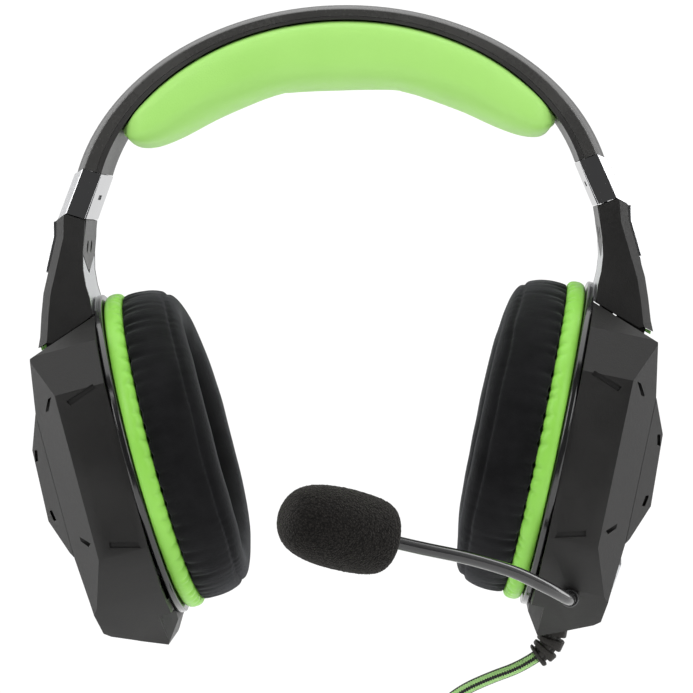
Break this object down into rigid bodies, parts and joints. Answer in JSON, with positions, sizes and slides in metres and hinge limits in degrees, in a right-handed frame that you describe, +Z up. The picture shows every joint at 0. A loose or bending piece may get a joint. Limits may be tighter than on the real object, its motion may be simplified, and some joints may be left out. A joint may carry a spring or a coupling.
{
  "type": "gaming headset",
  "caption": "Over-ear gaming headset with a padded headband, sliding arms, tilting faceted cups, velour ear cushions, a swing-up boom microphone and a braided cord.",
  "frame": {"origin": "middle of the head cushion's underside, where the headset rests on a head", "axes": "+X to the wearer's left, +Y to the back of the head, +Z up"},
  "size_m": [0.199, 0.1532, 0.3642],
  "materials": {
    "satin_black": "satin moulded ABS, fine spark texture",
    "dark_grey_plastic": "moulded nylon, light satin",
    "gloss_black": "high gloss moulded plastic",
    "chrome": "bright chrome plating on plastic",
    "silver": "satin silver lacquer",
    "steel": "bare spring steel",
    "green_gloss": "pale green moulded plastic",
    "ring_green": "smooth green synthetic leather",
    "pad_green": "soft green synthetic leather over foam",
    "velour_black": "short-pile black velour over foam",
    "driver_metal": "dark painted steel",
    "diaphragm_film": "thin polyester film",
    "wire_black": "soft insulated wire",
    "board_green": "solder-masked circuit board",
    "foam_black": "open-cell black foam",
    "relief_rubber": "dark brown-grey soft moulding",
    "braid_green": "green braided sleeve with a black zigzag",
    "tie_black": "soft black tie",
    "gold": "gold-plated plug contacts"
  },
  "bodies": {
    "headband": {"crossover_wire": "wire_black", "headband_cushion": "pad_green", "headband_inner_shell": "dark_grey_plastic", "headband_outer_shell": "satin_black", "headband_screws": "steel", "headband_spring_band": "steel", "left_collar": "chrome", "left_detent_plunger": "steel", "left_slider_guide": "dark_grey_plastic", "right_collar": "chrome", "right_detent_plunger": "steel", "right_slider_guide": "dark_grey_plastic"},
    "mic": {"mic_boom": "gloss_black", "mic_capsule": "driver_metal", "mic_capsule_housing": "satin_black", "mic_foam": "foam_black"},
    "left_arm": {"left_arm_accent": "green_gloss", "left_arm_inner_cover": "dark_grey_plastic", "left_arm_inner_trim": "silver", "left_arm_outer_trim": "chrome", "left_arm_screws": "steel", "left_arm_shell": "satin_black", "left_slider_bar": "steel", "left_tilt_pin": "steel"},
    "left_cup": {"left_baffle": "gloss_black", "left_cup_cap": "satin_black", "left_cup_screws": "steel", "left_cup_shell": "satin_black", "left_cup_silver_plate": "silver", "left_cushion_clip": "dark_grey_plastic", "left_cushion_ring": "ring_green", "left_driver_diaphragm": "diaphragm_film", "left_driver_frame": "driver_metal", "left_ear_cushion": "velour_black", "left_terminal_board": "board_green", "strain_relief": "relief_rubber", "cord_tube": "braid_green", "cord_coil": "braid_green", "cord_tie": "tie_black", "cord_tail": "braid_green", "plug_body": "satin_black", "plug_pin": "gold"},
    "right_arm": {"right_arm_accent": "green_gloss", "right_arm_inner_cover": "dark_grey_plastic", "right_arm_inner_trim": "silver", "right_arm_outer_trim": "chrome", "right_arm_screws": "steel", "right_arm_shell": "satin_black", "right_slider_bar": "steel", "right_tilt_pin": "steel"},
    "right_cup": {"right_baffle": "gloss_black", "right_cup_cap": "satin_black", "right_cup_screws": "steel", "right_cup_shell": "satin_black", "right_cup_silver_plate": "silver", "right_cushion_clip": "dark_grey_plastic", "right_cushion_ring": "ring_green", "right_driver_diaphragm": "diaphragm_film", "right_driver_frame": "driver_metal", "right_ear_cushion": "velour_black"}
  },
  "joints": [
    {"name": "left_slide", "type": "slide", "parent": "headband", "child": "left_arm", "axis": [0.3811, 0, -0.9245], "range_m": [0, 0.022]},
    {"name": "left_tilt", "type": "hinge", "parent": "left_arm", "child": "left_cup", "pos_m": [0.08588, 0, -0.08342], "axis": [0, -1, 0], "range_deg": [0, 5]},
    {"name": "right_slide", "type": "slide", "parent": "headband", "child": "right_arm", "axis": [-0.3811, 0, -0.9245], "range_m": [0, 0.022]},
    {"name": "right_tilt", "type": "hinge", "parent": "right_arm", "child": "right_cup", "pos_m": [-0.08588, 0, -0.08342], "axis": [0, 1, 0], "range_deg": [0, 5]},
    {"name": "mic_swing", "type": "hinge", "parent": "left_cup", "child": "mic", "pos_m": [0.0686, -0.028, -0.16215], "axis": [0, 1, 0], "range_deg": [-20, 75]}
  ]
}
